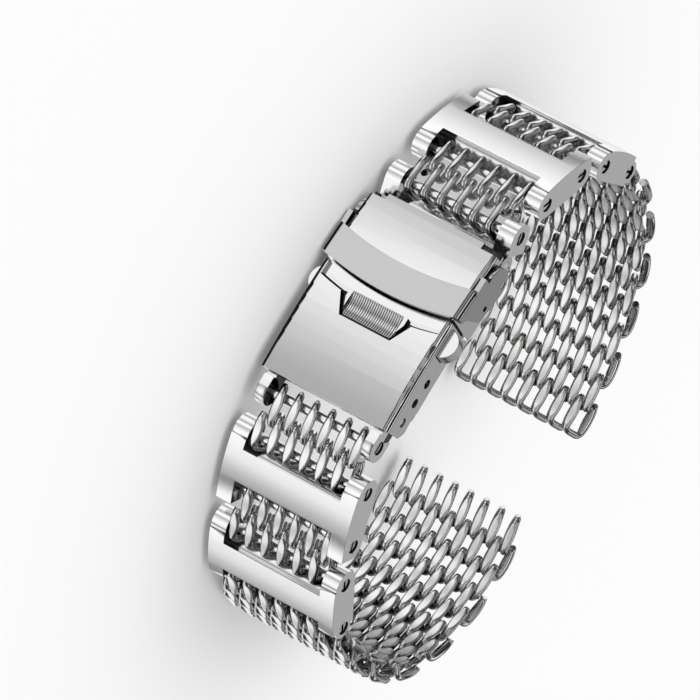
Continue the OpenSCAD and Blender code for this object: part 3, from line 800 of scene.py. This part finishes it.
# Stage
def floor_paper():
    """White paper that keeps the shadow"""
    material = bpy.data.materials.new("floor paper")
    material.use_nodes = True
    material.node_tree.nodes.clear()
    board = Board(material.node_tree)
    lit = board.add("ShaderNodeBsdfPrincipled", None, {
        "Base Color": (PAPER_GREY, PAPER_GREY, PAPER_GREY, 1), "Roughness": PAPER_ROUGHNESS,
        "Specular IOR Level": 0.0})
    board.add("ShaderNodeOutputMaterial", None, {"Surface": lit})
    return material


def grey_bands(board, value, low, high, stops):
    """Grey against a value that runs from low to high, between stops of (value, grey)"""
    span = high - low
    stops = tuple(((at - low) / span, grey) for at, grey in stops)
    return board.add("ShaderNodeValToRGB", {"stops": stops}, {"Fac": (value - low) * (1 / span)})


def studio_world(scene):
    """White for the camera; grey for fill; soft boxes and dark cards for the metal"""
    world = bpy.data.worlds.new("studio")
    scene.world = world
    world.use_nodes = True
    world.node_tree.nodes.clear()
    board = Board(world.node_tree)
    dx, dy, dz = board.split(board.add("ShaderNodeTexCoord", out="Generated"))
    height = dz.arcsin() * math.degrees(1)
    turn = dx.arctan(0 - dy) * math.degrees(1)
    low = grey_bands(board, height, -90, 90, FLOOR_HEIGHTS) * grey_bands(
        board, turn, -180, 180, FLOOR_TURNS)
    high = grey_bands(board, height, -90, 90, SKY_HEIGHTS) * grey_bands(
        board, turn, -180, 180, SKY_TURNS)
    mirrored = low + high + DARK_STUDIO
    camera = board.add("ShaderNodeLightPath", out="Is Camera Ray")
    glossy = board.add("ShaderNodeLightPath", out="Is Glossy Ray")
    grey = camera + (1 - camera) * (glossy * mirrored + (1 - glossy) * FILL)
    back = board.add("ShaderNodeBackground", None, {"Color": (1, 1, 1, 1), "Strength": grey})
    board.add("ShaderNodeOutputWorld", None, {"Surface": back})


def key_light():
    """A wide, even light from one side that metal doesn't mirror"""
    light = bpy.data.lights.new("key", "SUN")
    light.angle = KEY_SPREAD
    light.energy = KEY_POWER
    lamp = placed("key", light)
    lamp.location = KEY_PLACE
    lamp.rotation_euler = Vector(KEY_PLACE).to_track_quat("Z", "Y").to_euler()
    lamp.visible_glossy = False


def flat_floor(size):
    """The floor under the bracelet, which metal doesn't mirror"""
    half = size / 2
    mesh = bpy.data.meshes.new("floor")
    mesh.from_pydata([(-half, -half, 0), (half, -half, 0), (half, half, 0), (-half, half, 0)],
                     [], [(0, 1, 2, 3)])
    mesh.materials.append(floor_paper())
    floor = placed("floor", mesh)
    floor.visible_glossy = False


def set_camera(scene, stage):
    """The camera leans over and is rolled, as the photograph was taken"""
    az, el = stage.azimuth, stage.elevation
    ahead = Vector((math.cos(el) * math.sin(az), math.cos(el) * math.cos(az), -math.sin(el)))
    level = Vector((math.cos(az), -math.sin(az), 0))
    above = level.cross(ahead)
    right = math.cos(stage.roll) * level + math.sin(stage.roll) * above
    up = math.cos(stage.roll) * above - math.sin(stage.roll) * level
    data = bpy.data.cameras.new("camera")
    data.sensor_width = SENSOR_WIDTH
    data.lens = SENSOR_WIDTH * stage.distance / stage.frame_w
    data.clip_start = NEAREST
    data.clip_end = FARTHEST
    camera = placed("camera", data)
    aim = right * stage.aim_right + up * stage.aim_up
    turn = Matrix((right, up, -ahead)).transposed().to_4x4()
    camera.matrix_world = Matrix.Translation(aim - ahead * stage.distance) @ turn
    scene.camera = camera


class BRACELET_OT_stage(bpy.types.Operator):
    """Set the floor, the light and the camera"""

    bl_idname = "bracelet.stage"
    bl_label = "Stage"

    def execute(self, context):
        scene = context.scene
        scene.view_settings.view_transform = "Standard"
        studio_world(scene)
        flat_floor(scene.bracelet_stage.floor_size)
        key_light()
        set_camera(scene, scene.bracelet_stage)
        return {"FINISHED"}


class BRACELET_PT_panel(bpy.types.Panel):
    """Lists the bracelet's sizes, colours and operators"""

    bl_label = "Bracelet"
    bl_idname = "BRACELET_PT_panel"
    bl_space_type = "VIEW_3D"
    bl_region_type = "UI"
    bl_category = "Bracelet"

    def draw(self, context):
        for group in (context.scene.bracelet_wire, context.scene.bracelet_edges,
                      context.scene.bracelet_metals, context.scene.bracelet_stage):
            for name in group.__annotations__:
                self.layout.prop(group, name)
        for operator in OPERATORS:
            self.layout.operator(operator.bl_idname)


OPERATORS = (BRACELET_OT_stage, BRACELET_OT_mesh, BRACELET_OT_links, BRACELET_OT_rods,
             BRACELET_OT_clasp)
GROUPS = {"bracelet_wire": WireSizes, "bracelet_metals": MetalColours,
          "bracelet_edges": EdgeSizes, "bracelet_stage": StageSizes}


def register():
    for kind in (*GROUPS.values(), *OPERATORS, BRACELET_PT_panel):
        bpy.utils.register_class(kind)
    for name, group in GROUPS.items():
        setattr(bpy.types.Scene, name, PointerProperty(type=group))


def unregister():
    for name in GROUPS:
        delattr(bpy.types.Scene, name)
    for kind in reversed((*GROUPS.values(), *OPERATORS, BRACELET_PT_panel)):
        bpy.utils.unregister_class(kind)


def main():
    register()
    bpy.ops.bracelet.stage()
    bpy.ops.bracelet.mesh()
    bpy.ops.bracelet.links()
    bpy.ops.bracelet.rods()
    bpy.ops.bracelet.clasp()


if __name__ == "__main__":
    main()
